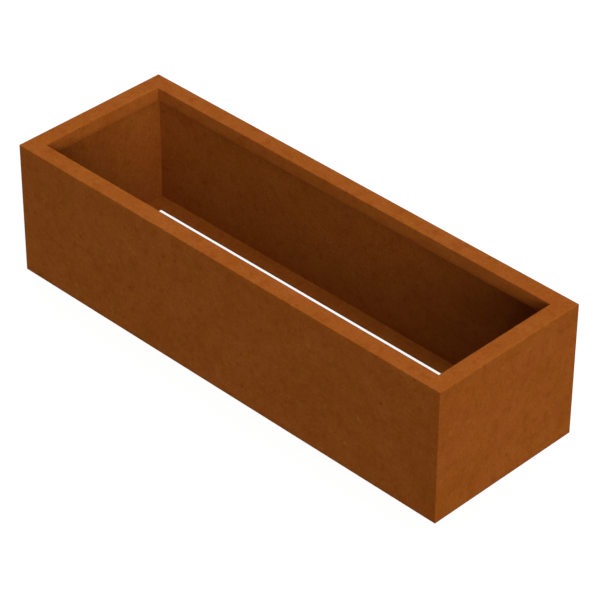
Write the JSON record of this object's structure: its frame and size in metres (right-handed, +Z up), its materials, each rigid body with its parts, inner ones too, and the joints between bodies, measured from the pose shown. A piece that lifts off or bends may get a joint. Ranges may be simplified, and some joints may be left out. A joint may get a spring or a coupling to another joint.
{
  "type": "planter box",
  "caption": "Bottomless rectangular planter of folded weathering steel sheet, with a flat inward rim, a short turned-down lip and an inward base flange.",
  "frame": {"origin": "middle of the rectangle that the planter stands on, at ground level", "axes": "+X along the long side to the right, +Y from the front panel to the back panel, +Z up"},
  "size_m": [1.5, 0.5, 0.4],
  "materials": {
    "rusted_sheet": "matte",
    "ground_weld": "matte"
  },
  "bodies": {
    "root": {"front_panel": "rusted_sheet", "back_panel": "rusted_sheet", "left_end_panel": "rusted_sheet", "right_end_panel": "rusted_sheet", "corner_weld_front_left": "ground_weld", "corner_weld_front_right": "ground_weld", "corner_weld_back_right": "ground_weld", "corner_weld_back_left": "ground_weld", "rim_mitre_weld_front_left": "ground_weld", "rim_mitre_weld_front_right": "ground_weld", "rim_mitre_weld_back_right": "ground_weld", "rim_mitre_weld_back_left": "ground_weld", "lip_weld_front_left": "ground_weld", "lip_weld_front_right": "ground_weld", "lip_weld_back_right": "ground_weld", "lip_weld_back_left": "ground_weld", "base_mitre_weld_front_left": "ground_weld", "base_mitre_weld_front_right": "ground_weld", "base_mitre_weld_back_right": "ground_weld", "base_mitre_weld_back_left": "ground_weld"}
  },
  "joints": []
}
